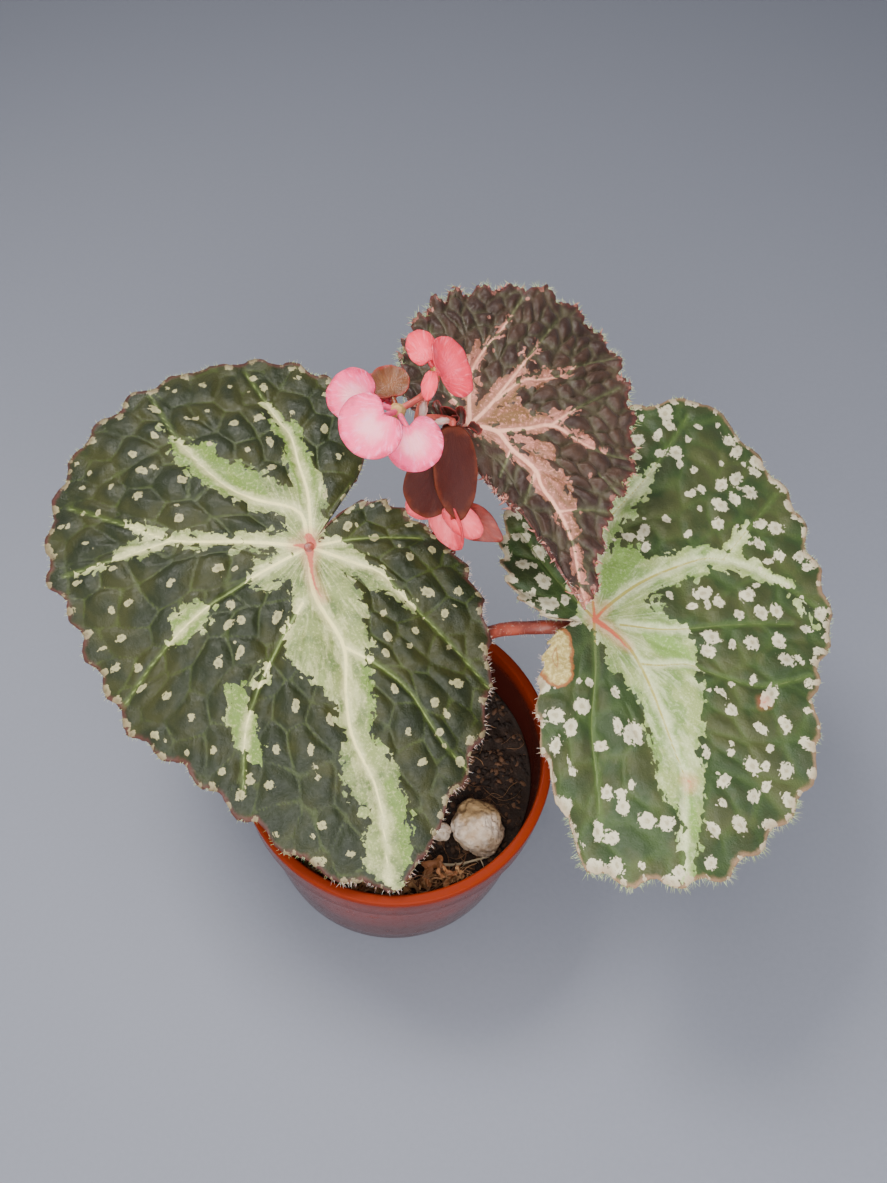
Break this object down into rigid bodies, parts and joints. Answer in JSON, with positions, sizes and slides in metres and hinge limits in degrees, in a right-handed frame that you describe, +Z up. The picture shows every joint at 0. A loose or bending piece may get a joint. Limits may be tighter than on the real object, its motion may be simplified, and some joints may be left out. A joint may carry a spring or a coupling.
{
  "type": "potted begonia",
  "caption": "Broad-leaved begonia with silver-marked leaves, a brown young leaf and pink blooms, growing from a rhizome in a round terracotta-coloured plastic pot.",
  "frame": {"origin": "centre of the pot's flat base, on the surface it stands on", "axes": "+Z up along the pot's axis; -Y is the front that the picture looks at, with the large leaf on the front left; +X to the right"},
  "size_m": [0.2566, 0.1714, 0.2134],
  "materials": {
    "pot": "semi-gloss terracotta-coloured plastic, scuffed",
    "soil": "dark damp potting mix with fibres",
    "stone": "rough pitted pale stone",
    "rhizome": "rough brown stem with leaf scars",
    "stalk": "satin red-brown, finely hairy",
    "leaf_green": "quilted satin green leaf with silver bands and pale spots",
    "leaf_brown": "quilted satin brown young leaf with a pink-silver band",
    "tepal": "soft satin pink petal",
    "seed_case": "smooth satin brown-red"
  },
  "bodies": {
    "root": {"pot": "pot", "soil": "soil", "stone_large": "stone", "stone_small": "stone", "rhizome": "rhizome", "petiole_left": "stalk", "petiole_right": "stalk", "petiole_top": "stalk", "flower_stalk": "stalk", "leaf_left": "leaf_green", "leaf_right": "leaf_green", "leaf_top": "leaf_brown", "bloom_front": "tepal", "bloom_upper": "tepal", "bloom_lower": "tepal", "ovary_lower": "seed_case"}
  },
  "joints": []
}
